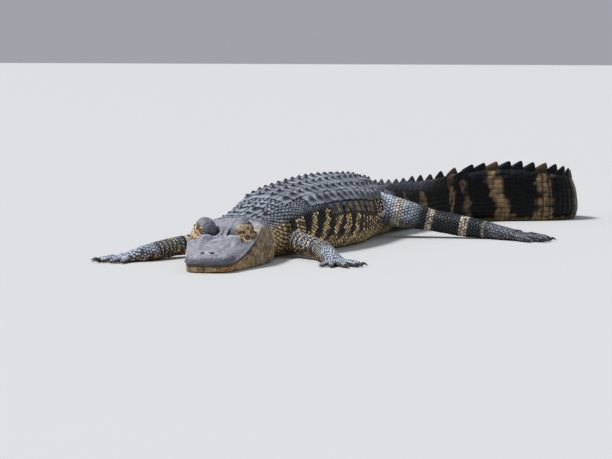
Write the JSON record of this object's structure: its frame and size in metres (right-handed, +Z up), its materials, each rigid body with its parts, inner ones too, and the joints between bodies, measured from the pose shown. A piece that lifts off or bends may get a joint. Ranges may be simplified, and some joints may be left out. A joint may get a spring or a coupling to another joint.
{
  "type": "american alligator",
  "caption": "Life-size still model of a young alligator lying on its belly, legs spread and tail curled, with a keeled back shield and crested tail.",
  "frame": {"origin": "on the floor plane, under the middle of the belly, 0.60 m behind the snout tip along the spine", "axes": "+Y along the straight part of the trunk from the shoulders to the hips, so the snout points to -Y; +Z up from the floor; +X to the animal's left"},
  "size_m": [0.7604, 1.5551, 0.1298],
  "materials": {
    "hide_dark": "dry scaly hide, dark slate with a dull sheen, pale yellow cross bands",
    "hide_head": "dry matt skin, slate grey",
    "jaw": "smooth scaly skin, olive yellow, mottled",
    "eye": "wet gloss, dark gold",
    "claw": "horn, near black"
  },
  "bodies": {
    "root": {"claw_fore_left_1": "claw", "claw_fore_left_2": "claw", "claw_fore_left_3": "claw", "claw_fore_right_1": "claw", "claw_fore_right_2": "claw", "claw_fore_right_3": "claw", "claw_hind_left_1": "claw", "claw_hind_left_2": "claw", "claw_hind_left_3": "claw", "claw_hind_right_1": "claw", "claw_hind_right_2": "claw", "claw_hind_right_3": "claw", "eye_left": "eye", "eye_right": "eye", "forefoot_left": "hide_dark", "forefoot_right": "hide_dark", "foreleg_left": "hide_dark", "foreleg_right": "hide_dark", "head": "hide_head", "hindfoot_left": "hide_dark", "hindfoot_right": "hide_dark", "hindleg_left": "hide_dark", "hindleg_right": "hide_dark", "lower_jaw": "jaw", "neck": "hide_dark", "tail_base": "hide_dark", "tail_middle": "hide_dark", "tail_rear": "hide_dark", "tail_tip": "hide_dark", "torso": "hide_dark"}
  },
  "joints": []
}
